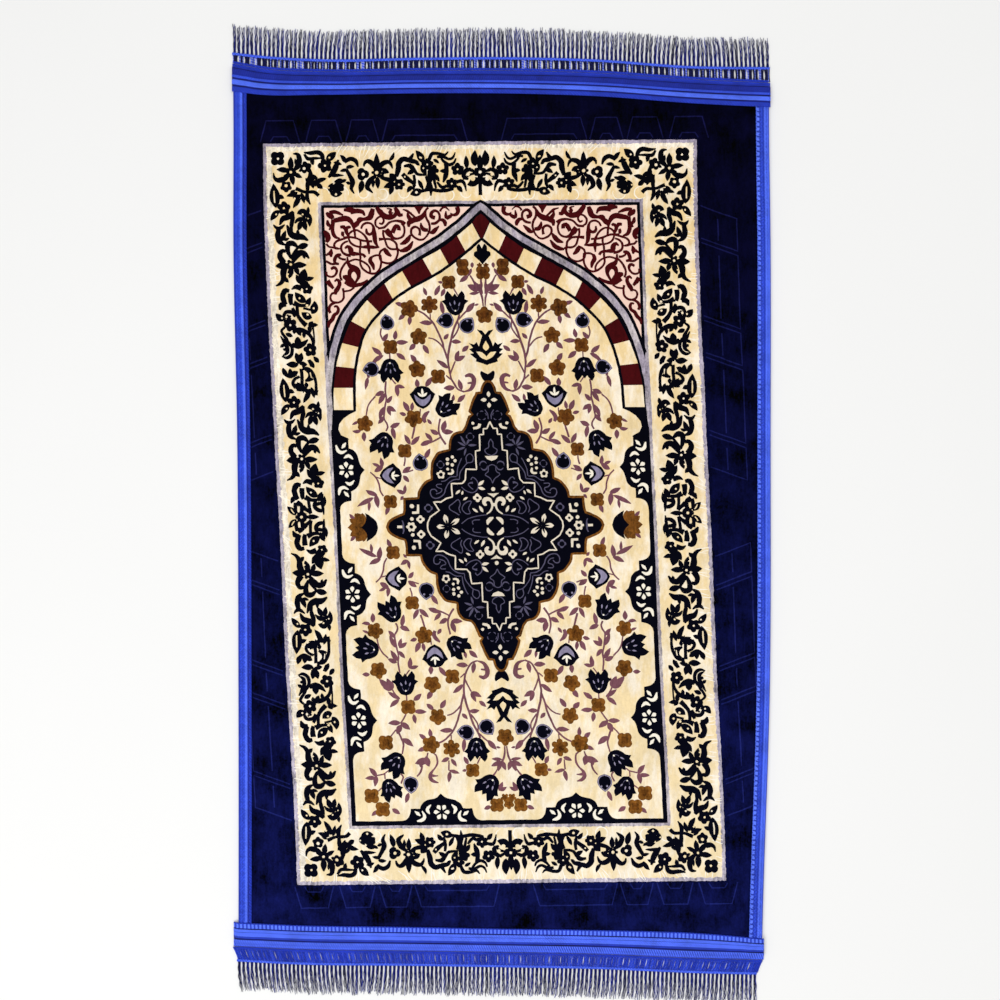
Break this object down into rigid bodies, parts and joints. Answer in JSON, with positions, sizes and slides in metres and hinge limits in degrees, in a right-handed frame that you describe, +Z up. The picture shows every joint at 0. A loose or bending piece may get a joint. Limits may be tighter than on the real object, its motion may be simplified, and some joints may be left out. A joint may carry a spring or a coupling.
{
  "type": "prayer rug",
  "caption": "Flat plush prayer rug with a printed arch and medallion, ribbed side braids, ribbed end tapes and netted fringes.",
  "frame": {"origin": "on the floor, under the middle of the rug's outline with its fringes", "axes": "+Z up through the pile, +Y along the rug's length towards the point of the arch, +X across it to the right"},
  "size_m": [0.7154, 1.3048, 0.0066],
  "materials": {
    "pile": "brushed plush pile, navy border, cream panel with dark, gold-brown, mauve and dark red figures",
    "side_braid": "royal blue ribbed braid with a soft sheen",
    "end_tape": "royal blue ribbed woven tape with a soft sheen",
    "fringe_yarn": "blue and navy twisted yarn"
  },
  "bodies": {
    "root": {"pile_cloth": "pile", "side_braid_left": "side_braid", "side_braid_right": "side_braid", "end_tape_top": "end_tape", "end_tape_bottom": "end_tape", "fringe_top": "fringe_yarn", "fringe_bottom": "fringe_yarn"}
  },
  "joints": []
}
